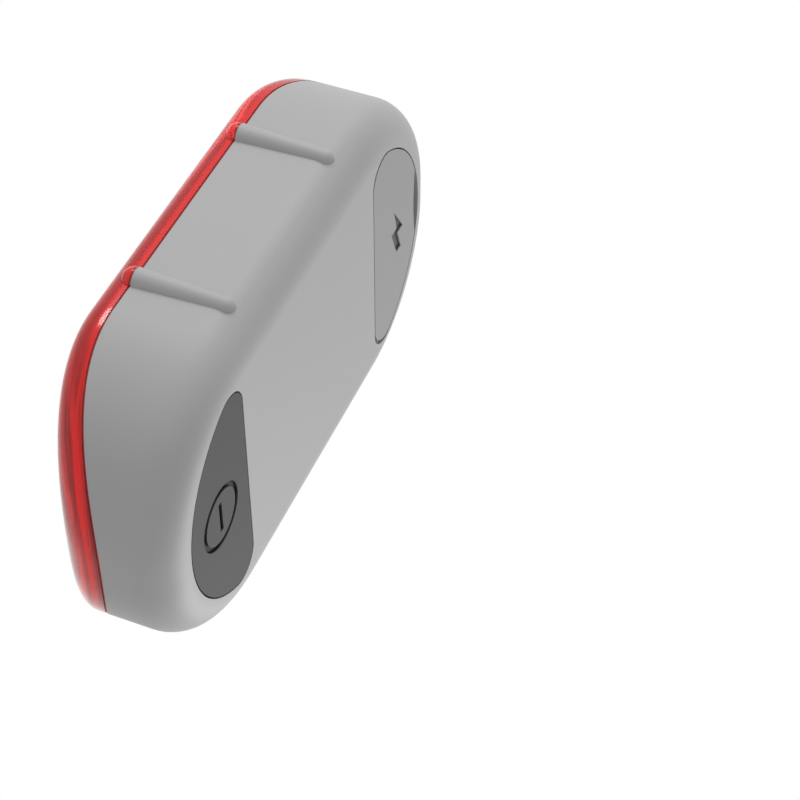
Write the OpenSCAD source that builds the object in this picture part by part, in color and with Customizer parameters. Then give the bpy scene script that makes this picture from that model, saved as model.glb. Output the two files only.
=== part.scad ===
// Rechargeable bike rear light: a flat-backed grey housing with a red lens that follows its curved front
// edge, a press button and a hinged port cover on the back, and boards, cell and light panel inside.
// The long axis is Z, the lens faces -Y and the flat back lies in the plane y = 0.

/* [Body] */
// length of the housing along Z
body_length = 70; // [60:1:85]
// width of the housing across the flat sides
body_width = 38.4; // [34:0.2:46]
// radius of the four corners seen from the back
corner_radius = 18; // [14:0.5:18.5]
// depth from the flat back to the lens joint on the straight sides
side_depth = 13.7; // [13:0.1:18]
// rounding between the back and the sides
back_radius = 4.6; // [3.6:0.1:5.5]
// side wall of the housing and of the lens
wall = 1.8; // [1.4:0.1:2.2]
// thickness of the back wall
back_wall = 2.2; // [1.8:0.1:2.6]
// length of the part at each end over which the front edge curves back
bend_length = 17.3; // [15:0.1:20]
// radius of the curved joint line at the two ends
bend_radius = 29; // [26:0.5:36]

/* [Side ridges] */
// distance between the two ridges on a side
ridge_spacing = 24.7; // [18:0.1:28]
// radius of a ridge
ridge_radius = 1.4; // [1:0.1:2]
// how far a ridge stands out of the side
ridge_height = 1.1; // [0.6:0.1:1.3]
// distance from the flat back to the rounded end of a ridge
ridge_end = 2.6; // [1.6:0.1:5]
// radius of a ridge at that end
ridge_end_radius = 1; // [0.7:0.05:1.4]

/* [Lens] */
// height of the lens band over the joint, seal included
lens_band = 3.1; // [2.9:0.1:4.5]
// rounding of the front edge of the lens
lens_edge = 2.6; // [1:0.1:2.7]
// how far the bump at the end of a ridge reaches over the joint
bump_reach = 1.6; // [1:0.1:2]
// thickness of the flat seal in the joint
seal_thickness = 0.2; // [0.1:0.05:0.5]
// how far the lens reaches into the housing
tongue_depth = 1.5; // [1:0.1:2]
// thickness of that tongue
tongue_thickness = 1; // [0.8:0.1:1.2]
// side play of the tongue in the housing
tongue_play = 0.1; // [0.05:0.01:0.2]

/* [Back panels] */
// distance of the button and of the port cover from the flat sides, which sets the radius of their arcs
panel_side_room = 4; // [3.2:0.1:5.2]
// distance of their outer edges from the ends of the body
panel_end_room = 4.75; // [4:0.05:6.5]
// height from their straight edge to their outer edge
panel_height = 13.05; // [11.2:0.05:13.7]
// corner radius of the button and of the two openings
panel_corner = 2.9; // [2.4:0.1:3]
// gap around them
panel_gap = 0.18; // [0.14:0.02:0.4]
// how far they lie below the flat back
panel_sink = 0.02; // [0:0.01:0.1]

/* [Button] */
// travel of the button
button_travel = 0.6; // [0.3:0.05:0.8]
// thickness of the flange that keeps the button in
flange_thickness = 0.6; // [0.5:0.1:0.8]
// free play over the flange and under it at full travel
flange_play = 0.2; // [0.15:0.05:0.3]
// how far the flange stands out beyond the button
flange_reach = 0.7; // [0.5:0.1:0.8]
// thickness of the retainer under the flange
retainer_thickness = 0.8; // [0.6:0.1:1]
// length of the post under the flange that presses the switch
button_post = 0.4; // [0.3:0.1:0.5]
// centre line radius of the engraved ring
symbol_radius = 3.65; // [2.5:0.05:5]
// width of the engraved line
symbol_line = 0.65; // [0.3:0.05:0.8]
// length of the engraved bar in the ring
symbol_bar = 4.2; // [2:0.1:5]
// depth of the engraving
symbol_depth = 0.3; // [0.1:0.05:0.4]

/* [Port cover] */
// thickness of the port cover
cover_thickness = 1.4; // [1.2:0.1:1.5]
// how much larger its corner radius is than the opening's, so that it can swing
swing_room = 0.35; // [0.3:0.05:0.6]
// room under the port cover
cover_room = 0.15; // [0.1:0.05:0.25]
// distance of the hinge axis below the outer face of the cover
hinge_drop = 0.32; // [0.3:0.01:0.34]
// distance of the hinge axis from the straight edge
hinge_inset = 1.05; // [1:0.05:1.15]
// radius of the hinge stubs at the ends of the axis
stub_radius = 0.18; // [0.14:0.01:0.2]
// radial play of a stub in its hole
stub_play = 0.04; // [0.02:0.01:0.08]
// length of the plug block under the cover
plug_depth = 0.8; // [0.5:0.1:1]
// depth of the nail notch at the outer edge
notch_depth = 1.15; // [0.9:0.05:1.4]
// radius of the curved edge of the nail notch
notch_radius = 35; // [20:1:60]

/* [Boards and cell] */
// thickness of the main board and of the light board
board_thickness = 0.8; // [0.6:0.1:1]
// room between the retainer and the main board
retainer_feet = 1; // [0.8:0.1:1.2]
// distance of the main board from the side walls
board_inset = 2; // [1.8:0.1:2.6]
// distance of the board screws from the straight edges of the back panels along Z
screw_gap = 4.9; // [4.3:0.1:7.3]
// shank radius of a board screw
screw_radius = 0.8; // [0.6:0.05:0.9]
// head radius of a board screw
screw_head = 1.4; // [1.2:0.05:1.5]
// room between the cell and the screw heads
cell_side_room = 0.8; // [0.5:0.1:2]
// room for the leads between the cell and the button end of the body
cell_lead_room = 14.5; // [13:0.1:16.5]
// room for the link header and the socket between the cell and the port end of the body
cell_port_room = 18.5; // [17.5:0.1:20]
// room between the cell and the link header
link_gap = 0.75; // [0.5:0.05:1]
// thickness of the foam under the cell
pad_thickness = 0.4; // [0.3:0.1:0.6]
// radius of a cell lead
lead_radius = 0.5; // [0.4:0.05:0.6]
// distance of the charging socket from the straight edge of the port cover
usb_offset = 6.8; // [6.1:0.1:7.3]
// length of the charging socket
usb_length = 5; // [4.6:0.1:5.4]
// distance of the button symbol and the switch from the straight edge of the button
switch_offset = 6.4; // [5.2:0.1:7.2]

/* [Light panel] */
// height of a light chip
chip_height = 0.6; // [0.5:0.05:0.7]
// thickness of the light panel
panel_thickness = 1; // [0.8:0.1:1.1]
// room between the light panel and the lens
panel_room = 0.8; // [0.6:0.1:1]
// distance between the columns of light chips
chip_column = 8; // [6:0.5:9]
// distance of the outer rows of light chips from the ends of the light frame
chip_end_room = 8.5; // [7:0.1:12]
// room between the light frame and the lens
frame_room = 0.3; // [0.3:0.05:0.6]

/* [Hidden] */
$fn = 64;
eps = 0.01;
hw = body_width / 2;
hl = body_length / 2;
cr = min(corner_radius, hw - 0.3);
bend_start = hl - bend_length;
bend_y = bend_radius - side_depth;
front_d = side_depth + lens_band;
front_r = bend_radius + lens_band;
ridge_length = side_depth - ridge_end - ridge_end_radius;
ridge_slope = (ridge_radius - ridge_end_radius) / ridge_length;
panel_radius = hw - panel_side_room;
panel_reach = hl - panel_end_room;
panel_chord = panel_reach - panel_height;
usb_z = panel_chord + usb_offset;
switch_z = panel_chord + switch_offset;
dee_z = panel_reach - panel_radius;
cover_corner = panel_corner + swing_room;
// tiny overlap that lets the corner arcs cross their neighbours instead of only touching them
arc_overlap = 0.0005;
function dee_cz(rc) = panel_chord + rc;
function dee_cx(rc) = sqrt(pow(panel_radius - rc, 2) - pow(dee_cz(rc) - dee_z, 2));
// planes of the stack, from the back to the front
y_in = -back_wall;
y_flange = y_in - flange_play;
y_flange_end = y_flange - flange_thickness;
y_post = y_flange_end - button_post;
y_ret = y_flange_end - button_travel - flange_play;
y_ret_end = y_ret - retainer_thickness;
y_board = y_ret_end - retainer_feet;
y_board_end = y_board - board_thickness;
y_pad_end = y_board_end - pad_thickness;
y_panel_end = -front_d + wall + panel_room;
y_panel = y_panel_end + panel_thickness;
y_light_end = y_panel + 0.2 + chip_height;
y_light = y_light_end + board_thickness;
y_frame = y_light + 0.8;
y_cell_end = y_frame + 0.3;
y_floor = -panel_sink - cover_thickness - cover_room;
y_floor_end = y_floor - 1.25;
y_usb = y_floor - 0.95;
y_usb_end = y_usb - usb_length;
// hinge axis of the port cover
hinge_y = -panel_sink - hinge_drop;
hinge_z = panel_chord + hinge_inset;
stub_x = dee_cx(panel_corner) + sqrt(pow(panel_corner + panel_gap, 2) - pow(dee_cz(panel_corner) - hinge_z, 2));
// light frame and light board outlines
frame_w = hw - wall - tongue_play - tongue_thickness - frame_room;
frame_l = bend_start - 2 * frame_room
    + sqrt(pow(bend_radius + lens_band - wall, 2) - pow(bend_y - y_panel + frame_room, 2));
frame_r = frame_w - 1.2;
chip_row = (frame_l - chip_end_room) / 2;
screw_x = hw - wall - 4;
screw_z = panel_chord - screw_gap;
// the cell keeps clear of the screws, the leads and the link header
cell_width = 2 * (screw_x - screw_head - cell_side_room);
cell_length = body_length - cell_lead_room - cell_port_room;
cell_z = (cell_port_room - cell_lead_room) / 2;
boss_r = screw_radius + 1.1;

// flat shape drawn in X and Z, given depth from y0 up to y1
module slab(y0, y1) {
    translate([0, y1, 0]) rotate([90, 0, 0]) linear_extrude(y1 - y0) children();
}

// flat shape drawn in Y and Z, drawn out across the whole width
module across(w) {
    translate([-w, 0, 0]) rotate([90, 0, 90]) linear_extrude(2 * w) children();
}

// rounded rectangle from half sizes
module rrect(a, b, r) {
    square([2 * a, 2 * (b - r)], center = true);
    square([2 * (a - r), 2 * b], center = true);
    for (x = [-1, 1], z = [-1, 1]) translate([x * (a - r), z * (b - r)]) circle(r);
}

// outline of the body, moved inwards by o
module outline(o) {
    rrect(hw - o, hl - o, cr - o);
}

// half section of the body edge: reach r, depth d, rounding f at the back
module edge(r, d, f) {
    square([r - f, d]);
    translate([0, f]) square([r, d - f]);
    translate([r - f, f]) circle(f);
}

// solid with the body outline moved inwards by o, back face at y, rounded back edge f, depth d
module pod(o, y, d, f) {
    a = hw - cr;
    b = hl - cr;
    translate([0, y, 0]) {
        for (s = [0, 180]) rotate([0, s, 0]) {
            translate([0, 0, -b]) mirror([0, 1, 0]) linear_extrude(2 * b) translate([a, 0]) edge(cr - o, d, f);
            translate([-a, 0, b]) rotate([90, 0, 90]) linear_extrude(2 * a) rotate(90) edge(cr - o, d, f);
            translate([a, 0, b]) rotate([90, 0, 0]) rotate_extrude(angle = 90) edge(cr - o, d, f);
            translate([-a, 0, b]) rotate([90, 0, 0]) rotate([0, 0, 90]) rotate_extrude(angle = 90)
                edge(cr - o, d, f);
        }
        translate([-a, -d, -b]) cube([2 * a, d, 2 * b]);
    }
}

// everything behind the curved joint, moved by o towards the front
module behind(o) {
    across(hw + 4) intersection() {
        union() {
            translate([-side_depth - o, -bend_start]) square([side_depth + o + 4, 2 * bend_start]);
            for (s = [-1, 1]) translate([bend_y, s * bend_start]) circle(bend_radius + o, $fn = 128);
        }
        translate([-side_depth - 10, -hl - 5]) square([side_depth + 14, 2 * hl + 10]);
    }
}

// ring along the outline between two insets, from joint level a to joint level b
module joint_ring(o1, o2, a, b) {
    intersection() {
        slab(-side_depth - 8, -2) difference() { outline(o1); outline(o2); }
        difference() { behind(b); behind(a); }
    }
}

// shape of the button and the port cover, grown by o, with corner radius rc
module dee(o, rc = panel_corner) {
    cx = dee_cx(rc);
    cz = dee_cz(rc);
    intersection() {
        translate([0, dee_z]) circle(panel_radius + o);
        translate([-hw, panel_chord - o]) square([2 * hw, hl]);
        union() {
            polygon([[0, dee_z], [3 * cx, dee_z + 3 * (cz - dee_z)], [3 * cx, 3 * hl], [-3 * cx, 3 * hl],
                [-3 * cx, dee_z + 3 * (cz - dee_z)]]);
            translate([-cx, 0]) square([2 * cx, hl]);
        }
    }
    for (s = [-1, 1]) translate([s * cx, cz]) circle(rc + o + arc_overlap);
}

module button_dee(o) { mirror([0, 1]) dee(o); }

// rod along Y
module rod(x, z, r, y0, y1) {
    translate([x, y1, z]) rotate([90, 0, 0]) cylinder(r = r, h = y1 - y0);
}

// block from half width and half height about x and z
module block(x, z, a, b, y0, y1) {
    translate([x - a, y0, z - b]) cube([2 * a, y1 - y0, 2 * b]);
}

// places of the four side ridges
module ridge_places() {
    for (x = [-1, 1], z = [-1, 1])
        translate([x * (hw + ridge_height - ridge_radius), 0, z * ridge_spacing / 2]) children();
}

// places of the four board screws
module screw_places() {
    for (x = [-1, 1], z = [-1, 1]) translate([x * screw_x, 0, z * screw_z]) children();
}

module rear_housing() color([0.66, 0.66, 0.66]) difference() {
    union() {
        difference() {
            intersection() {
                pod(0, 0, side_depth + 4, back_radius);
                behind(0);
            }
            pod(wall, y_in, side_depth + 4, back_radius - wall);
        }
        intersection() {
            ridge_places() {
                translate([0, -side_depth - 4, 0]) rotate([-90, 0, 0])
                    cylinder(r1 = ridge_radius + 4 * ridge_slope, r2 = ridge_end_radius, h = ridge_length + 4);
                translate([0, ridge_length - side_depth, 0]) sphere(ridge_end_radius);
            }
            behind(0);
            difference() {
                slab(-side_depth - 4, 0) square([2 * hw + 6, 2 * hl], center = true);
                slab(-side_depth - 4, 0) outline(wall / 2);
            }
        }
        slab(y_floor_end, y_in + eps) dee(1.2);
        screw_places() rod(0, 0, boss_r, y_board, y_in + eps);
        for (s = [-1, 1]) {
            rod(s * 9, usb_z + 2, 1.2, y_board, y_floor_end + eps);
            block(s * (hw - wall - 0.6), 0, 1, 4, y_frame, y_in - 1.5);
        }
    }
    slab(-back_wall - 2, 1) button_dee(panel_gap);
    slab(y_floor, 1) dee(panel_gap);
    slab(y_floor_end - 1, y_floor + 1) translate([0, usb_z]) square([8.6, 3.7], center = true);
    translate([-stub_x - 0.55, hinge_y, hinge_z]) rotate([0, 90, 0])
        cylinder(r = stub_radius + stub_play, h = 2 * (stub_x + 0.55));
    screw_places() rod(0, 0, screw_radius + 0.05, y_board - 1, y_board + 2.6);
}

// outer shape of the lens as rings of points that follow the outline and the curved front
lens_steps = 15;
lens_rings = 6;
ring_n = 4 * (lens_steps + 1);
function front_y(z) = abs(z) <= bend_start ? -front_d
    : -front_d + front_r - sqrt(pow(front_r, 2) - pow(abs(z) - bend_start, 2));
function ring_angle(i) = 90 * floor(i / (lens_steps + 1)) + 90 * (i % (lens_steps + 1)) / lens_steps;
function ring_side(i) = [[1, 1], [-1, 1], [-1, -1], [1, -1]][floor(i / (lens_steps + 1))];
function ring_x(i, o) = ring_side(i)[0] * (hw - cr) + (cr - o) * cos(ring_angle(i));
function ring_z(i, o) = ring_side(i)[1] * (hl - cr) + (cr - o) * sin(ring_angle(i));
function lens_point(i, k) = let (o = lens_edge * (1 - cos(k)))
    [ring_x(i, o), front_y(ring_z(i, o)) + lens_edge * (1 - sin(k)), ring_z(i, o)];
lens_points = concat([for (i = [0 : ring_n - 1]) [ring_x(i, 0), -5, ring_z(i, 0)]],
    [for (j = [0 : lens_rings], i = [0 : ring_n - 1]) lens_point(i, 90 * j / lens_rings)]);
lens_right = concat([for (i = [0 : lens_steps]) 3 * (lens_steps + 1) + i], [for (i = [0 : lens_steps]) i]);
lens_left = concat([for (i = [0 : lens_steps]) 2 * (lens_steps + 1) + lens_steps - i],
    [for (i = [0 : lens_steps]) lens_steps + 1 + lens_steps - i]);
lens_top = (lens_rings + 1) * ring_n;
lens_faces = concat([[for (i = [0 : ring_n - 1]) i]],
    [for (j = [0 : lens_rings], i = [0 : ring_n - 1]) [j * ring_n + i, (j + 1) * ring_n + i,
        (j + 1) * ring_n + (i + 1) % ring_n]],
    [for (j = [0 : lens_rings], i = [0 : ring_n - 1]) [j * ring_n + i, (j + 1) * ring_n + (i + 1) % ring_n,
        j * ring_n + (i + 1) % ring_n]],
    [for (i = [0 : 2 * lens_steps]) [lens_top + lens_right[i], lens_top + lens_left[i],
        lens_top + lens_left[i + 1], lens_top + lens_right[i + 1]]]);

module front_lens() color([0.85, 0.1, 0.1]) {
    difference() {
        union() {
            polyhedron(points = lens_points, faces = lens_faces);
            ridge_places() {
                rod(0, 0, ridge_radius, -side_depth - bump_reach + ridge_radius, -5);
                translate([0, -side_depth - bump_reach + ridge_radius, 0]) sphere(ridge_radius);
            }
        }
        behind(seal_thickness);
        intersection() {
            slab(-front_d, 0) outline(wall);
            behind(lens_band - wall);
        }
    }
    joint_ring(wall - 0.2, wall + tongue_play + tongue_thickness, seal_thickness, lens_band - wall);
    joint_ring(wall + tongue_play, wall + tongue_play + tongue_thickness, -tongue_depth, lens_band - wall);
}

module lens_seal() color([0.1, 0.1, 0.1])
    joint_ring(0.12, wall - 0.2, 0, seal_thickness);

module power_button() color([0.38, 0.38, 0.39]) difference() {
    union() {
        slab(y_flange - eps, -panel_sink) button_dee(0);
        slab(y_flange_end, y_flange) intersection() {
            button_dee(flange_reach);
            square([22, 3 * hl], center = true);
        }
        rod(0, -switch_z, 1.6, y_post, y_flange_end + eps);
    }
    slab(-panel_sink - symbol_depth, 1) translate([0, -switch_z]) {
        difference() {
            circle(symbol_radius + symbol_line / 2);
            circle(symbol_radius - symbol_line / 2);
        }
        square([symbol_bar, symbol_line], center = true);
    }
}

post_z = panel_chord - flange_reach - 1.2;
module button_retainer() color([0.2, 0.2, 0.22]) {
    difference() {
        slab(y_ret_end, y_ret) {
            intersection() {
                button_dee(2.2);
                translate([-hw + 5.6, -hl + 3.6]) square([2 * hw - 11.2, hl]);
            }
            for (s = [-1, 1]) translate([s * 8, -post_z]) square(2.4, center = true);
        }
        slab(y_ret_end - 1, y_ret + 1) translate([0, -switch_z]) rrect(10, 4.4, 2);
    }
    for (s = [-1, 1]) {
        rod(s * 8, -post_z, 0.7, y_ret - eps, y_in);
        rod(s * (hw - 7.8), -panel_chord - 3, 0.9, y_board, y_ret_end + eps);
        rod(s * 7, -panel_reach + 1.8, 0.9, y_board, y_ret_end + eps);
    }
}

module charge_port_cover() color([0.6, 0.6, 0.6]) difference() {
    union() {
        intersection() {
            slab(-panel_sink - cover_thickness, -panel_sink) dee(0, cover_corner);
            union() {
                translate([-hw, -5, hinge_z]) cube([2 * hw, 6, hl]);
                translate([-hw, hinge_y, hinge_z]) rotate([0, 90, 0]) cylinder(r = hinge_inset, h = 2 * hw);
            }
        }
        block(0, usb_z, 3.4, 0.9, -panel_sink - cover_thickness - plug_depth, -panel_sink - 0.5);
        translate([-stub_x - 0.45, hinge_y, hinge_z]) rotate([0, 90, 0])
            cylinder(r = stub_radius, h = 2 * (stub_x + 0.45));
    }
    rod(0, panel_reach - notch_depth + notch_radius, notch_radius, y_floor - 1, 1);
    slab(-panel_sink - symbol_depth, 1) translate([0, usb_z]) rotate(90)
        polygon([[-0.2, 3.4], [-1.7, -0.35], [-0.15, -0.35], [-0.9, -3.4], [1.7, 0.6], [0.15, 0.6], [1.1, 3.4]]);
}

module main_board() color([0.1, 0.3, 0.16]) difference() {
    slab(y_board_end, y_board) outline(wall + board_inset);
    screw_places() rod(0, 0, screw_radius + 0.2, y_board_end - 1, y_board + 1);
    slab(y_board_end - 1, y_board + 1) translate([0, usb_z]) square([8, 3.1], center = true);
}

module light_board() color([0.9, 0.9, 0.88])
    slab(y_light_end, y_light) rrect(frame_w - 1.4, frame_l - 1.4, frame_r - 1.4);

module light_chips() color([0.95, 0.85, 0.4])
    for (x = [-1 : 1], z = [-2 : 2])
        block(x * chip_column, z * chip_row, 1.4, 1.75, y_light_end - chip_height, y_light_end);

module light_panel() color([0.95, 0.5, 0.45])
    slab(y_panel_end, y_panel) rrect(frame_w - 0.4, frame_l - 4, frame_r - 0.4);

module light_frame() color([0.15, 0.12, 0.12]) {
    slab(y_light, y_frame) difference() {
        rrect(frame_w, frame_l, frame_r);
        rrect(frame_w - 3.5, frame_l - 3.5, frame_r - 3.5);
    }
    slab(y_panel, y_light + 0.4) difference() {
        rrect(frame_w, frame_l, frame_r);
        rrect(frame_w - 1.2, frame_l - 1.2, frame_r - 1.2);
    }
}

module battery_cell() color([0.75, 0.76, 0.78])
    slab(y_cell_end, y_pad_end) translate([0, -cell_z]) rrect(cell_width / 2, cell_length / 2, 1.2);

module battery_pad() color([0.2, 0.2, 0.2])
    slab(y_pad_end, y_board_end) translate([0, -cell_z]) square([cell_width - 4, cell_length - 6], center = true);

// lead from the end of the cell, one bend, then across to the plug
lead_y = y_board_end - 1.3;
lead_bend = 1.5;
plug_x = -3.2;
cell_end_z = -cell_z - cell_length / 2;
module lead(x, z) {
    translate([x, lead_y, z + lead_bend]) cylinder(r = lead_radius, h = cell_end_z - z - lead_bend);
    translate([x - lead_bend, lead_y, z + lead_bend]) rotate([90, 0, 0]) rotate([0, 0, 270])
        rotate_extrude(angle = 90) translate([lead_bend, 0]) circle(lead_radius);
    translate([plug_x, lead_y, z]) rotate([0, 90, 0]) cylinder(r = lead_radius, h = x - lead_bend - plug_x);
}

module battery_lead_positive() color([0.7, 0.1, 0.1]) lead(2, cell_end_z - 3.6);

module battery_lead_negative() color([0.08, 0.08, 0.08]) lead(4, cell_end_z - 5.2);

module battery_plug() color([0.9, 0.88, 0.8])
    block(plug_x - 1.6, cell_end_z - 4.4, 1.6, 1.5, lead_y - 0.7, lead_y + 0.7);

module battery_socket() color([0.92, 0.9, 0.84]) difference() {
    block(plug_x - 2.6, cell_end_z - 4.4, 1.8, 2.1, y_board_end - 2.6, y_board_end);
    block(plug_x - 1.2, cell_end_z - 4.4, 2, 1.5, lead_y - 0.7, lead_y + 0.7);
}

module usb_shell() color([0.78, 0.78, 0.8]) {
    difference() {
        slab(y_usb_end, y_usb) translate([0, usb_z]) rrect(3.8, 1.35, 0.6);
        slab(y_usb_end - 1, y_usb + 1) translate([0, usb_z]) rrect(3.5, 1.05, 0.4);
    }
    for (s = [-1, 1]) block(s * 4.3, usb_z, 0.6, 1, y_board, y_board + 0.3);
}

module usb_tongue() color([0.12, 0.12, 0.12]) {
    slab(y_usb_end, y_usb_end + 1.4) translate([0, usb_z]) rrect(3.5, 1.05, 0.4);
    block(0, usb_z + 0.25, 2.5, 0.35, y_usb_end + 1, y_usb - 0.8);
}

module usb_contacts() color([0.85, 0.7, 0.3])
    for (i = [-2 : 2]) block(i * 0.65 * 1.5, usb_z - 0.16, 0.18, 0.06, y_usb_end + 1.4, y_usb - 1.1);

module switch_body() color([0.13, 0.13, 0.14]) difference() {
    block(0, -switch_z, 2.3, 2.3, y_board, y_board + 1.2);
    rod(0, -switch_z, 1.4, y_board + 0.15, y_board + 2);
}

module switch_plate() color([0.8, 0.8, 0.8]) difference() {
    block(0, -switch_z, 2.3, 2.3, y_board + 1.2, y_board + 1.4);
    rod(0, -switch_z, 1.1, y_board, y_board + 2);
}

module switch_plunger() color([0.85, 0.85, 0.8])
    rod(0, -switch_z, 1, y_board + 0.3 + button_travel, y_post);

module board_screws() color([0.7, 0.7, 0.72]) screw_places() difference() {
    union() {
        rod(0, 0, screw_radius, y_board_end - eps, y_board + 2.4);
        rod(0, 0, screw_head, y_board_end - 1, y_board_end);
    }
    for (a = [0, 90]) rotate([0, a, 0]) block(0, 0, 0.9, 0.18, y_board_end - 2, y_board_end - 0.5);
}

module charge_indicator() color([0.9, 0.3, 0.2]) block(7, panel_chord - 2.5, 0.8, 0.4, y_board, y_board + 0.6);

module control_chip() color([0.1, 0.1, 0.1]) block(0, 3, 2.5, 2.5, y_board, y_board + 0.9);

module power_inductor() color([0.22, 0.22, 0.24]) slab(y_board, y_board + 1.6) translate([-6.5, 5])
    rrect(2, 2, 0.6);

module small_components() color([0.65, 0.5, 0.35]) for (i = [0 : 3]) {
    block(-6 + 4 * i, -4, 0.8, 0.4, y_board, y_board + 0.5);
    block(-6 + 4 * i, -7, 0.5, 0.25, y_board, y_board + 0.4);
    block(6.5, 0.5 + 2 * i, 0.8, 0.4, y_board, y_board + 0.5);
}

link_z = cell_length / 2 - cell_z + link_gap + 1.25;
module link_header() color([0.1, 0.1, 0.1]) difference() {
    block(0, link_z, 5.1, 1.25, y_board_end - 2.4, y_board_end);
    for (i = [-1.5 : 1.5]) block(i * 2.54, link_z, 0.34, 0.34, y_board_end - 3, y_board_end + 1);
}

module link_pins() color([0.85, 0.7, 0.35])
    for (i = [-1.5 : 1.5]) block(i * 2.54, link_z, 0.32, 0.32, y_light, y_board_end);

rear_housing();
front_lens();
lens_seal();
power_button();
button_retainer();
charge_port_cover();
main_board();
light_board();
light_chips();
light_panel();
light_frame();
battery_cell();
battery_pad();
battery_lead_positive();
battery_lead_negative();
battery_plug();
battery_socket();
usb_shell();
usb_tongue();
usb_contacts();
switch_body();
switch_plate();
switch_plunger();
board_screws();
charge_indicator();
control_chip();
power_inductor();
small_components();
link_header();
link_pins();
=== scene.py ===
import math

import bpy
from mathutils import Matrix, Vector


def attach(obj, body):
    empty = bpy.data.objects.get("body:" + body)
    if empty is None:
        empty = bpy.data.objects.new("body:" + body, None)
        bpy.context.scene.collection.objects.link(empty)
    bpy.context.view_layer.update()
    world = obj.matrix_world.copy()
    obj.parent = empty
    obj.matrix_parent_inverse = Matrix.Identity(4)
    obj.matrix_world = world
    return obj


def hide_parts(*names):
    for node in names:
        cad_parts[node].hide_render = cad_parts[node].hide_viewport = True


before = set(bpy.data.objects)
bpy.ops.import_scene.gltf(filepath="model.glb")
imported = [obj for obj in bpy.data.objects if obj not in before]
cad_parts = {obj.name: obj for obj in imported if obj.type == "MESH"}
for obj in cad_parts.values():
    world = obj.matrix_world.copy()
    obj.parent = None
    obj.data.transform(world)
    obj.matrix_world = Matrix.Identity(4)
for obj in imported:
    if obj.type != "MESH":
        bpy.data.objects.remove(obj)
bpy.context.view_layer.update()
mm = 0.001
print("frame loaded with", len(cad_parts), "nodes")


# makers of shader nodes, for a material or the world
def mathNode(mat, operation, first, second=None):
    node = mat.node_tree.nodes.new("ShaderNodeMath")
    node.operation = operation
    for socket, value in zip(node.inputs, (first, second)):
        if isinstance(value, (int, float)):
            socket.default_value = value
        elif value is not None:
            mat.node_tree.links.new(value, socket)
    return node.outputs[0]


def noiseNode(mat, vector, scale, detail=2):
    node = mat.node_tree.nodes.new("ShaderNodeTexNoise")
    node.inputs["Scale"].default_value = scale
    node.inputs["Detail"].default_value = detail
    mat.node_tree.links.new(vector, node.inputs["Vector"])
    return node.outputs["Fac"]


# a value spread from one range to another
def spanNode(mat, value, start, end, low=0, high=1, smooth=False):
    node = mat.node_tree.nodes.new("ShaderNodeMapRange")
    if smooth:
        node.interpolation_type = "SMOOTHSTEP"
    for name, number in (("From Min", start), ("From Max", end), ("To Min", low), ("To Max", high)):
        node.inputs[name].default_value = number
    mat.node_tree.links.new(value, node.inputs["Value"])
    return node.outputs["Result"]


# two numbers, colours or sockets mixed by a share
def mixNode(mat, share, first, second):
    node = mat.node_tree.nodes.new("ShaderNodeMix")
    colours = [isinstance(item, tuple) or getattr(item, "type", "") == "RGBA" for item in (first, second)]
    node.data_type = "RGBA" if any(colours) else "FLOAT"
    mat.node_tree.links.new(share, next(s for s in node.inputs if s.name == "Factor" and s.enabled))
    for name, item in (("A", first), ("B", second)):
        socket = next(s for s in node.inputs if s.name == name and s.enabled)
        if isinstance(item, tuple):
            socket.default_value = (*item, 1)
        elif isinstance(item, (int, float)):
            socket.default_value = item
        else:
            mat.node_tree.links.new(item, socket)
    return next(s for s in node.outputs if s.enabled)


# camera at the place the picture was taken from, all sizes in mm
cameraValues = {
    "place": (170.863, 71.907, -149.791),
    "right": (0.00013, 0.92464, 0.38085),
    "up": (0.68506, -0.27753, 0.67355),
    "back": (0.72849, 0.26081, -0.63347),
    "lens": 97.2347,
    "sensor": 36,
    "nearest": 1,
}


def addCamera(v):
    bpy.ops.object.select_all(action="DESELECT")
    bpy.ops.object.camera_add()
    cam = bpy.context.object
    cam.data.lens = v["lens"]
    cam.data.sensor_width = v["sensor"]
    cam.data.clip_start = v["nearest"] * mm
    turn = Matrix((v["right"], v["up"], v["back"])).transposed().to_4x4()
    cam.matrix_world = Matrix.Translation(Vector(v["place"]) * mm) @ turn
    bpy.context.scene.camera = cam


# an even surround and three lamps: above the part as it is seen, low behind it, and a narrow one for glints
# distances in metres
lightValues = {
    "surround": 0.54,
    "lamps": [
        {"from": (0.76, -0.05, 0.65), "away": 0.9, "size": (0.5, 0.5), "power": 3.0},
        {"from": (-0.80, 0.54, 0.25), "away": 0.9, "size": (0.5, 0.5), "power": 3.4},
        {"from": (0.80, -0.39, 0.455), "away": 0.9, "size": (0.1, 0.24), "power": 0.9},
    ],
}


def addLamp(v):
    aim = Vector(v["from"]).normalized()
    bpy.ops.object.light_add(type="AREA", location=aim * v["away"])
    lamp = bpy.context.object
    lamp.data.shape = "ELLIPSE"
    lamp.data.size, lamp.data.size_y = v["size"]
    lamp.data.energy = v["power"]
    lamp.rotation_mode = "QUATERNION"
    lamp.rotation_quaternion = (-aim).to_track_quat("-Z", "Y")


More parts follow.
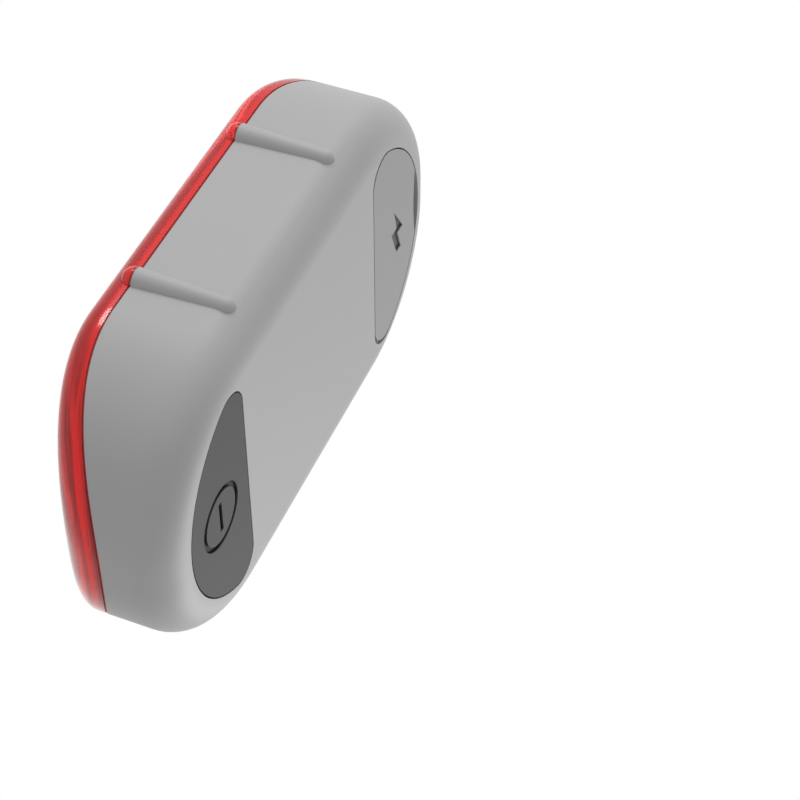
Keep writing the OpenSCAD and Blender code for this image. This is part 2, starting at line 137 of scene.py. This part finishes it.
# dimmer as a light than where it is seen directly, in a gloss or through the lens
def setSurround(strength):
    world = bpy.data.worlds.new("surround")
    bpy.context.scene.world = world
    world.use_nodes = True
    nodes, links = world.node_tree.nodes, world.node_tree.links
    nodes.clear()
    path = nodes.new("ShaderNodeLightPath")
    seen = mathNode(world, "MAXIMUM", path.outputs["Is Camera Ray"], path.outputs["Is Glossy Ray"])
    seen = mathNode(world, "MAXIMUM", seen, path.outputs["Is Transmission Ray"])
    mix = nodes.new("ShaderNodeMixShader")
    links.new(seen, mix.inputs[0])
    for socket, power in ((mix.inputs[1], strength), (mix.inputs[2], 1)):
        white = nodes.new("ShaderNodeBackground")
        white.inputs["Color"].default_value = (1, 1, 1, 1)
        white.inputs["Strength"].default_value = power
        links.new(white.outputs[0], socket)
    out = nodes.new("ShaderNodeOutputWorld")
    links.new(mix.outputs[0], out.inputs["Surface"])


# pale floor that only the camera sees, and only from above, in metres
floorValues = {"height": -0.26, "size": 3, "colour": (0.86, 0.86, 0.86), "rough": 0.8}


def addFloor(v):
    bpy.ops.object.select_all(action="DESELECT")
    bpy.ops.mesh.primitive_plane_add(size=v["size"], location=(0, 0, v["height"]))
    floor = bpy.context.object
    floor.name = "floor"
    bpy.ops.object.transform_apply(location=True)
    mat = bpy.data.materials.new("pale_floor")
    mat.use_nodes = True
    nodes, links = mat.node_tree.nodes, mat.node_tree.links
    shader = nodes["Principled BSDF"]
    shader.inputs["Base Color"].default_value = (*v["colour"], 1)
    shader.inputs["Roughness"].default_value = v["rough"]
    shader.inputs["Specular IOR Level"].default_value = 0
    side = nodes.new("ShaderNodeNewGeometry")
    path = nodes.new("ShaderNodeLightPath")
    shown = mathNode(mat, "GREATER_THAN", path.outputs["Is Camera Ray"], side.outputs["Backfacing"])
    clear = nodes.new("ShaderNodeBsdfTransparent")
    mix = nodes.new("ShaderNodeMixShader")
    links.new(shown, mix.inputs[0])
    links.new(clear.outputs[0], mix.inputs[1])
    links.new(shader.outputs[0], mix.inputs[2])
    links.new(mix.outputs[0], nodes["Material Output"].inputs["Surface"])
    floor.data.materials.append(mat)


bpy.context.scene.view_settings.view_transform = "Standard"
addCamera(cameraValues)
setSurround(lightValues["surround"])
for lampValues in lightValues["lamps"]:
    addLamp(lampValues)
addFloor(floorValues)
print("camera, lamps and floor set")


# finishes: a colour with faint mottling, grain in the surface and uneven gloss
plainFinish = {
    "metal": 0, "shine": 0.5, "patch": 150, "patchDetail": 3, "spread": 0.04,
    "grain": 5000, "roughSpread": 0.04, "relief": 0.15, "reliefDepth": 0.02 * mm,
}


def newFinish(name, values):
    v = {**plainFinish, **values}
    mat = bpy.data.materials.new(name)
    mat.use_nodes = True
    nodes, links = mat.node_tree.nodes, mat.node_tree.links
    shader = nodes["Principled BSDF"]
    shader.inputs["Metallic"].default_value = v["metal"]
    shader.inputs["Specular IOR Level"].default_value = v["shine"]
    place = nodes.new("ShaderNodeTexCoord").outputs["Object"]
    patch = noiseNode(mat, place, v["patch"], v["patchDetail"])
    colour = Vector(v["colour"])
    tint = mixNode(mat, patch, tuple(colour * (1 - v["spread"])), tuple(colour * (1 + v["spread"])))
    links.new(tint, shader.inputs["Base Color"])
    grain = noiseNode(mat, place, v["grain"])
    gloss = spanNode(mat, grain, 0, 1, low=v["rough"] - v["roughSpread"], high=v["rough"] + v["roughSpread"])
    links.new(gloss, shader.inputs["Roughness"])
    bump = nodes.new("ShaderNodeBump")
    bump.inputs["Strength"].default_value = v["relief"]
    bump.inputs["Distance"].default_value = v["reliefDepth"]
    links.new(grain, bump.inputs["Height"])
    links.new(bump.outputs["Normal"], shader.inputs["Normal"])
    return mat


def placeOn(mat):
    nodes, links = mat.node_tree.nodes, mat.node_tree.links
    split = nodes.new("ShaderNodeSeparateXYZ")
    links.new(nodes["Texture Coordinate"].outputs["Object"], split.inputs[0])
    return split.outputs["X"], split.outputs["Y"], split.outputs["Z"]


# a second colour where the mask is 1
def paintOver(mat, mask, colour):
    socket = mat.node_tree.nodes["Principled BSDF"].inputs["Base Color"]
    under = socket.links[0].from_socket
    mat.node_tree.links.new(mixNode(mat, mask, under, colour), socket)


# 1 within reach of a point on the middle line
def near(mat, x, z, centreZ, reach):
    dz = mathNode(mat, "SUBTRACT", z, centreZ)
    span = mathNode(mat, "ADD", mathNode(mat, "MULTIPLY", x, x), mathNode(mat, "MULTIPLY", dz, dz))
    return mathNode(mat, "LESS_THAN", span, reach * reach)


def give(node, mat):
    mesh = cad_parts[node].data
    mesh.materials.clear()
    mesh.materials.append(mat)


# housing, seal, button and port cover, with a darker colour in the engraved marks
shellValues = {
    "housing": {"colour": (0.44, 0.44, 0.44), "rough": 0.5, "shine": 0.25, "spread": 0.012, "relief": 0.12},
    "button": {"colour": (0.075, 0.075, 0.076), "rough": 0.58, "shine": 0.12, "spread": 0.03, "relief": 0.2},
    "cover": {"colour": (0.36, 0.36, 0.36), "rough": 0.55, "shine": 0.2, "spread": 0.02, "relief": 0.2},
    "seal": {"colour": (0.34, 0.02, 0.021), "rough": 0.6, "spread": 0.1},
    "mark": (0.012, 0.012, 0.012),
    "markOnCover": (0.1, 0.1, 0.1),
    "markDepth": -0.2 * mm,
    "markFloor": -0.5 * mm,
    "markReach": 4.6 * mm,
    "buttonMark": -23.6 * mm,
    "coverMark": 24.0 * mm,
}


def finishShell(v):
    give("rear_housing", newFinish("housing_grey", v["housing"]))
    # the seal is a real part, coloured dark red as painted shade: it stands in for the foot of the lens seen
    # in shadow along the joint
    give("lens_seal", newFinish("seal_dark_red", v["seal"]))
    for node, key, centre, paint in (
        ("power_button", "button", v["buttonMark"], v["mark"]),
        ("charge_port_cover", "cover", v["coverMark"], v["markOnCover"]),
    ):
        mat = newFinish(key + "_grey", v[key])
        x, y, z = placeOn(mat)
        # darker where the surface lies sunk below the face, within reach of the mark's middle
        below = mathNode(mat, "LESS_THAN", y, v["markDepth"])
        above = mathNode(mat, "GREATER_THAN", y, v["markFloor"])  # not on the inner side
        sunk = mathNode(mat, "MULTIPLY", below, above)
        paintOver(mat, mathNode(mat, "MULTIPLY", sunk, near(mat, x, z, centre, v["markReach"])), paint)
        give(node, mat)


finishShell(shellValues)
print("housing, button and cover finished")


# boards, cell, sockets and the small parts inside
insideValues = {
    "button_retainer": {"colour": (0.03, 0.03, 0.033), "rough": 0.5},
    "main_board": {"colour": (0.012, 0.085, 0.035), "rough": 0.3, "spread": 0.15, "patch": 500, "shine": 0.6},
    "light_board": {"colour": (0.75, 0.75, 0.72), "rough": 0.4, "spread": 0.03},
    "light_chips": {"colour": (0.85, 0.62, 0.14), "rough": 0.35, "spread": 0.08, "patch": 900},
    "light_panel": {"colour": (0.86, 0.62, 0.35), "rough": 0.35, "spread": 0.03},
    "light_frame": {"colour": (0.7, 0.7, 0.7), "rough": 0.4, "spread": 0.03},
    "battery_cell": {
        "colour": (0.62, 0.63, 0.65), "rough": 0.3, "metal": 0.9,
        "grain": 700, "relief": 0.5, "reliefDepth": 0.1 * mm,
    },
    "battery_pad": {
        "colour": (0.03, 0.03, 0.03), "rough": 0.9,
        "grain": 2500, "relief": 0.6, "reliefDepth": 0.1 * mm,
    },
    "battery_lead_positive": {"colour": (0.5, 0.02, 0.02), "rough": 0.4},
    "battery_lead_negative": {"colour": (0.02, 0.02, 0.02), "rough": 0.4},
    "battery_plug": {"colour": (0.05, 0.05, 0.05), "rough": 0.45},
    "battery_socket": {"colour": (0.03, 0.03, 0.03), "rough": 0.5},
    "usb_shell": {"colour": (0.6, 0.6, 0.62), "rough": 0.25, "metal": 1, "grain": 9000},
    "usb_tongue": {"colour": (0.02, 0.02, 0.02), "rough": 0.45},
    "usb_contacts": {"colour": (0.8, 0.55, 0.2), "rough": 0.25, "metal": 1},
    "switch_body": {"colour": (0.02, 0.02, 0.022), "rough": 0.5},
    "switch_plate": {"colour": (0.65, 0.65, 0.65), "rough": 0.3, "metal": 1},
    "switch_plunger": {"colour": (0.75, 0.75, 0.7), "rough": 0.4},
    "board_screws": {"colour": (0.55, 0.55, 0.56), "rough": 0.3, "metal": 1, "spread": 0.1, "patch": 900},
    "charge_indicator": {"colour": (0.85, 0.2, 0.1), "rough": 0.2},
    "control_chip": {"colour": (0.02, 0.02, 0.02), "rough": 0.5},
    "power_inductor": {"colour": (0.06, 0.06, 0.065), "rough": 0.6, "grain": 3000, "relief": 0.5},
    "small_components": {"colour": (0.4, 0.26, 0.14), "rough": 0.4, "spread": 0.2, "patch": 700},
    "link_header": {"colour": (0.02, 0.02, 0.02), "rough": 0.5},
    "link_pins": {"colour": (0.8, 0.58, 0.22), "rough": 0.25, "metal": 1},
}
panelDots = {
    "pitch": 2.6 * mm, "size": 0.11, "colour": (0.16, 0.07, 0.05), "facing": -0.5,
    "halfWidth": 15.6 * mm, "halfLength": 22.5 * mm, "corner": 14.4 * mm, "inset": 0.8 * mm,
}


# rows of dots on the front of the light panel
def dotPanel(mat, v):
    nodes, links = mat.node_tree.nodes, mat.node_tree.links
    place = nodes["Texture Coordinate"]
    flat = nodes.new("ShaderNodeMapping")
    flat.inputs["Scale"].default_value = (1 / v["pitch"], 0, 1 / v["pitch"])
    links.new(place.outputs["Object"], flat.inputs["Vector"])
    cells = nodes.new("ShaderNodeTexVoronoi")
    cells.inputs["Scale"].default_value = 1
    cells.inputs["Randomness"].default_value = 0
    links.new(flat.outputs[0], cells.inputs["Vector"])
    dot = mathNode(mat, "LESS_THAN", cells.outputs["Distance"], v["size"])
    # only dots whose middle lies well inside the rounded outline
    middle = nodes.new("ShaderNodeSeparateXYZ")
    links.new(cells.outputs["Position"], middle.inputs[0])
    span = 0
    for name, half in (("X", v["halfWidth"]), ("Z", v["halfLength"])):
        out = mathNode(mat, "MULTIPLY", mathNode(mat, "ABSOLUTE", middle.outputs[name]), v["pitch"])
        out = mathNode(mat, "MAXIMUM", mathNode(mat, "SUBTRACT", out, half - v["corner"]), 0)
        span = mathNode(mat, "ADD", mathNode(mat, "MULTIPLY", out, out), span)
    whole = mathNode(mat, "LESS_THAN", span, (v["corner"] - v["inset"]) ** 2)
    dot = mathNode(mat, "MULTIPLY", dot, whole)
    # and not on the panel's rim
    normal = nodes.new("ShaderNodeSeparateXYZ")
    links.new(place.outputs["Normal"], normal.inputs[0])
    front = mathNode(mat, "LESS_THAN", normal.outputs["Y"], v["facing"])
    paintOver(mat, mathNode(mat, "MULTIPLY", dot, front), v["colour"])


def finishInside(values):
    for node, v in values.items():
        mat = newFinish(node + "_finish", v)
        if node == "light_panel":
            dotPanel(mat, panelDots)
        give(node, mat)


finishInside(insideValues)
print("inside finished")


# red lens: a rounded plate with a soft front edge, bent back at both ends, made hollow, all sizes in mm
lensValues = {
    # outline, section and bend
    "halfWidth": 19.2, "halfLength": 35.0, "corner": 18.0, "cornerSteps": 28,
    "sideDepth": 13.7, "band": 3.1, "seal": 0.2, "sideShares": (0.4, 0.6), "wall": 1.8,
    "edge": 2.6, "edgeForward": 2.3, "edgeSteps": 8,
    "frontRings": (1.2, 1.6, 1.8, 2.0, 2.0, 2.0, 1.6, 1.2, 0.8),
    "bendStart": 17.7, "bendRadius": 29.0,
    # bumps at the ridge ends
    "bumpRadius": 1.4, "bumpSegments": 32, "bumpRings": 16, "bumpMerge": 0.001,
    "bumpStand": 1.1, "bumpAt": 12.35, "bumpReach": 0.17, "bumpGap": 0.03,
    # tongue and rim
    "tongueOut": 1.9, "tongueIn": 2.9, "tongueDepth": 1.5, "rimOut": 1.6, "overlap": 0.1,
    # tolerances and smoothing
    "same": 0.01, "merge": 0.002, "smoothAngle": 30, "innerFacing": 0.5,
    # zones by the distance ahead of the joint, and the ends by the distance from the middle; the dark strip
    # nearest the joint is painted shade
    "jointShadeEnd": 0.26, "rimEnd": 0.6, "frontStart": 1.28, "flatStart": 2.7, "flatEnd": 3.0,
    "endStart": 20, "endFull": 30,
    "jointShadeColour": (0.42, 0.016, 0.016), "rimColour": (0.92, 0.026, 0.024),
    # painted shade: the soft edge's darker red stands in for the shaded outer band of the lens
    "edgeShadeColour": (0.72, 0.022, 0.022), "frontColour": (0.97, 0.03, 0.028),
    "rimClear": 0.2, "endClear": 0.72, "edgeClear": 0.5, "edgeEndClear": 0.58, "frontClear": 0.9,
    # painted shade: dark streaks that stand in for the darker inside seen through the clear lens, for each
    # metre across and along the edge
    "streakAcross": 1400, "streakAlong": 60, "streakShadeColour": (0.34, 0.01, 0.012),
    "streakLow": 0.4, "streakHigh": 0.52, "streakMost": 0.85,
    # gloss
    "rough": 0.05, "roughLow": 0.6, "roughHigh": 1.4, "cloud": 120, "bending": 1.18,
    "coat": 0.5, "coatRough": 0.15, "innerRough": 0.03, "innerSpread": 0.02,
}


def sagAt(v, z, radius):
    over = max(0.0, abs(z) - v["bendStart"])
    return radius - math.sqrt(radius * radius - over * over)


# level of the lens foot, just in front of the seal
def baseLevel(v):
    return -(v["sideDepth"] + v["seal"])


# flat plate at a level, smaller than the outline by an inset, left in edit mode with all of it selected
def roundPlate(v, inset, level):
    bpy.ops.object.select_all(action="DESELECT")
    bpy.ops.mesh.primitive_plane_add(size=2, location=(0, level * mm, 0), rotation=(math.pi / 2, 0, 0))
    plate = bpy.context.object
    plate.scale = ((v["halfWidth"] - inset) * mm, (v["halfLength"] - inset) * mm, 1)
    bpy.ops.object.transform_apply(location=True, rotation=True, scale=True)
    bpy.ops.object.mode_set(mode="EDIT")
    bpy.ops.mesh.select_all(action="SELECT")
    bpy.ops.mesh.bevel(offset=(v["corner"] - inset) * mm, segments=v["cornerSteps"], affect="VERTICES")
    bpy.ops.mesh.select_all(action="SELECT")
    return plate


def lensSheet(v):
    start = -(v["sideDepth"] + v["band"]) + v["edgeForward"]
    lens = roundPlate(v, 0, start)
    lens.name = "red_lens"
    steps = v["edgeSteps"]
    for k in range(steps):  # the soft edge, one inset for each step of a quarter circle
        a, b = math.pi / 2 * k / steps, math.pi / 2 * (k + 1) / steps
        inward = v["edge"] * (math.cos(a) - math.cos(b))
        forward = v["edgeForward"] * (math.sin(b) - math.sin(a))
        bpy.ops.mesh.inset(thickness=inward * mm, depth=forward * mm, use_even_offset=True)
    for ring in v["frontRings"]:
        bpy.ops.mesh.inset(thickness=ring * mm, depth=0, use_even_offset=True)
    bpy.ops.mesh.select_all(action="SELECT")
    bpy.ops.mesh.region_to_loop()
    drop = baseLevel(v) - start
    for share in v["sideShares"]:
        bpy.ops.mesh.extrude_edges_move(TRANSFORM_OT_translate={"value": (0, drop * share * mm, 0)})
    bpy.ops.object.mode_set(mode="OBJECT")
    return lens


def bendLens(lens, v):
    frontRadius = v["bendRadius"] + v["band"]
    baseRadius = v["bendRadius"] + v["seal"]
    for point in lens.data.vertices:
        z = point.co.z / mm
        atBase = abs(point.co.y / mm - baseLevel(v)) < v["same"]
        point.co.y += sagAt(v, z, baseRadius if atBase else frontRadius) * mm
    lens.data.update()


def thicken(lens, v):
    wall = lens.modifiers.new("wall", "SOLIDIFY")
    wall.thickness = v["wall"] * mm
    wall.offset = -1
    wall.use_even_offset = True
    bpy.ops.object.modifier_apply(modifier=wall.name)


def joinTo(lens, piece, operation="UNION"):
    bpy.ops.object.select_all(action="DESELECT")
    bpy.context.view_layer.objects.active = lens
    lens.select_set(True)
    join = lens.modifiers.new("join", "BOOLEAN")
    join.operation = operation
    join.solver = "EXACT"
    join.object = piece
    bpy.ops.object.modifier_apply(modifier=join.name)
    bpy.data.objects.remove(piece)


# the bump keeps off the seal behind it
def clearSeal(bump, v, sx, sz):
    bpy.ops.object.select_all(action="DESELECT")
    side = v["halfWidth"] + v["bumpGap"]
    size = 2 * v["bumpRadius"]
    spot = (sx * (side - size / 2) * mm, (baseLevel(v) + size / 2) * mm, sz * v["bumpAt"] * mm)
    bpy.ops.mesh.primitive_cube_add(size=1, location=spot, scale=(size * mm, size * mm, 2 * size * mm))
    block = bpy.context.object
    bpy.ops.object.transform_apply(location=True, scale=True)
    joinTo(bump, block, "DIFFERENCE")


def addBump(lens, v, sx, sz):
    bpy.ops.object.select_all(action="DESELECT")
    reach = v["halfWidth"] + v["bumpStand"] - v["bumpRadius"]
    spot = (sx * reach * mm, baseLevel(v) * mm, sz * v["bumpAt"] * mm)
    bpy.ops.mesh.primitive_uv_sphere_add(
        segments=v["bumpSegments"], ring_count=v["bumpRings"], radius=v["bumpRadius"] * mm,
        location=spot, rotation=(math.pi / 2, 0, 0),
    )
    bump = bpy.context.object
    bpy.ops.object.transform_apply(location=True, rotation=True)
    bpy.ops.object.mode_set(mode="EDIT")
    bpy.ops.mesh.select_all(action="SELECT")
    behind = (spot[0], (baseLevel(v) + v["bumpReach"]) * mm, spot[2])
    bpy.ops.mesh.bisect(plane_co=behind, plane_no=(0, 1, 0), clear_outer=True, use_fill=True)
    bpy.ops.mesh.select_all(action="SELECT")
    bpy.ops.mesh.remove_doubles(threshold=v["bumpMerge"] * mm)
    bpy.ops.mesh.normals_make_consistent(inside=False)
    bpy.ops.object.mode_set(mode="OBJECT")
    clearSeal(bump, v, sx, sz)
    joinTo(lens, bump)


# ring that follows the outline, from the level start down to the level end
def addRing(lens, v, outer, inner, start, end):
    ring = roundPlate(v, outer, start)
    bpy.ops.mesh.inset(thickness=(inner - outer) * mm, depth=0, use_even_offset=True)
    bpy.ops.mesh.delete(type="FACE")
    bpy.ops.mesh.select_all(action="SELECT")
    bpy.ops.mesh.extrude_region_move(TRANSFORM_OT_translate={"value": (0, (end - start) * mm, 0)})
    bpy.ops.mesh.select_all(action="SELECT")
    bpy.ops.mesh.normals_make_consistent(inside=False)
    bpy.ops.object.mode_set(mode="OBJECT")
    for point in ring.data.vertices:
        level = -v["sideDepth"] - point.co.y / mm
        point.co.y += sagAt(v, point.co.z / mm, v["bendRadius"] + level) * mm
    ring.data.update()
    joinTo(lens, ring)


# tongue that goes into the housing and the thicker rim it grows from
def addTongue(lens, v):
    base = baseLevel(v) - v["overlap"] / 2
    top = -(v["sideDepth"] + v["band"] - v["wall"]) - v["overlap"]
    addRing(lens, v, v["rimOut"], v["tongueIn"], base, top)
    addRing(lens, v, v["tongueOut"], v["tongueIn"], v["tongueDepth"] - v["sideDepth"], (base + top) / 2)


# points that fall together are made one
def mergePoints(lens, v):
    bpy.ops.object.mode_set(mode="EDIT")
    bpy.ops.mesh.select_all(action="SELECT")
    bpy.ops.mesh.remove_doubles(threshold=v["merge"] * mm)
    bpy.ops.mesh.dissolve_degenerate(threshold=v["merge"] * mm)
    bpy.ops.object.mode_set(mode="OBJECT")


# how far a point lies in front of the joint, which curves back at both ends
def jointDistance(mat, v):
    x, y, z = placeOn(mat)
    radius = v["bendRadius"] * mm
    over = mathNode(mat, "SUBTRACT", mathNode(mat, "ABSOLUTE", z), v["bendStart"] * mm)
    over = mathNode(mat, "MAXIMUM", over, 0)
    left = mathNode(mat, "SUBTRACT", radius * radius, mathNode(mat, "MULTIPLY", over, over))
    sag = mathNode(mat, "SUBTRACT", radius, mathNode(mat, "SQRT", left))
    return mathNode(mat, "SUBTRACT", mathNode(mat, "SUBTRACT", sag, y), v["sideDepth"] * mm)


# inner side of the front, clear all over
def innerFinish(v):
    look = {"colour": v["frontColour"], "rough": v["innerRough"], "roughSpread": v["innerSpread"], "relief": 0}
    mat = newFinish("lens_red_inner", look)
    shader = mat.node_tree.nodes["Principled BSDF"]
    shader.inputs["Transmission Weight"].default_value = v["frontClear"]
    shader.inputs["IOR"].default_value = v["bending"]
    return mat


def lensFinish(v):
    mat = bpy.data.materials.new("lens_red")
    mat.use_nodes = True
    nodes, links = mat.node_tree.nodes, mat.node_tree.links
    shader = nodes["Principled BSDF"]
    shader.inputs["IOR"].default_value = v["bending"]
    shader.inputs["Coat Weight"].default_value = v["coat"]
    shader.inputs["Coat Roughness"].default_value = v["coatRough"]
    place = nodes.new("ShaderNodeTexCoord").outputs["Object"]
    ahead = jointDistance(mat, v)
    z = placeOn(mat)[2]
    edge = spanNode(mat, ahead, v["rimEnd"] * mm, v["frontStart"] * mm, smooth=True)
    flat = spanNode(mat, ahead, v["flatStart"] * mm, v["flatEnd"] * mm)
    ends = spanNode(mat, mathNode(mat, "ABSOLUTE", z), v["endStart"] * mm, v["endFull"] * mm)
    # how clear: the rim least, then the soft edge, then the flat front, and more at both ends
    rim = mixNode(mat, ends, v["rimClear"], v["endClear"])
    soft = mixNode(mat, ends, v["edgeClear"], v["edgeEndClear"])
    clear = mixNode(mat, flat, mixNode(mat, edge, rim, soft), v["frontClear"])
    links.new(clear, shader.inputs["Transmission Weight"])
    # colour in the same zones; the soft edge is darker red as painted shade of the outer band, less so at both
    # ends
    softShade = mixNode(mat, ends, v["edgeShadeColour"], v["frontColour"])
    tint = mixNode(mat, flat, mixNode(mat, edge, v["rimColour"], softShade), v["frontColour"])
    links.new(tint, shader.inputs["Base Color"])
    # painted shade: dark streaks along the edge, at both ends only, for the darker inside seen through the
    # clear lens
    line = nodes.new("ShaderNodeCombineXYZ")
    links.new(mathNode(mat, "MULTIPLY", ahead, v["streakAcross"]), line.inputs["X"])
    links.new(mathNode(mat, "MULTIPLY", z, v["streakAlong"]), line.inputs["Z"])
    streak = noiseNode(mat, line.outputs[0], 1)
    dark = spanNode(mat, streak, v["streakHigh"], v["streakLow"], high=v["streakMost"])
    shown = mathNode(mat, "MULTIPLY", ends, mathNode(mat, "SUBTRACT", 1, flat))
    paintOver(mat, mathNode(mat, "MULTIPLY", dark, shown), v["streakShadeColour"])
    # painted shade: a dark red strip along the foot of the lens, where the joint lies in shadow
    paintOver(mat, mathNode(mat, "LESS_THAN", ahead, v["jointShadeEnd"] * mm), v["jointShadeColour"])
    cloud = noiseNode(mat, place, v["cloud"])
    gloss = spanNode(mat, cloud, 0, 1, low=v["rough"] * v["roughLow"], high=v["rough"] * v["roughHigh"])
    links.new(gloss, shader.inputs["Roughness"])
    return mat


# faces behind the front, inside the tongue, take the inner finish
def finishLens(lens, v):
    bpy.ops.object.shade_smooth_by_angle(angle=math.radians(v["smoothAngle"]))
    lens.data.materials.clear()
    lens.data.materials.append(lensFinish(v))
    lens.data.materials.append(innerFinish(v))
    inside = (v["halfWidth"] - v["tongueIn"]) * mm
    for face in lens.data.polygons:
        if face.normal.y > v["innerFacing"] and abs(face.center.x) < inside:
            face.material_index = 1


lens = lensSheet(lensValues)
bendLens(lens, lensValues)
thicken(lens, lensValues)
for sx in (-1, 1):
    for sz in (-1, 1):
        addBump(lens, lensValues, sx, sz)
addTongue(lens, lensValues)
mergePoints(lens, lensValues)
finishLens(lens, lensValues)
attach(lens, "body")
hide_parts("front_lens")
print("lens made with", len(lens.data.polygons), "faces")
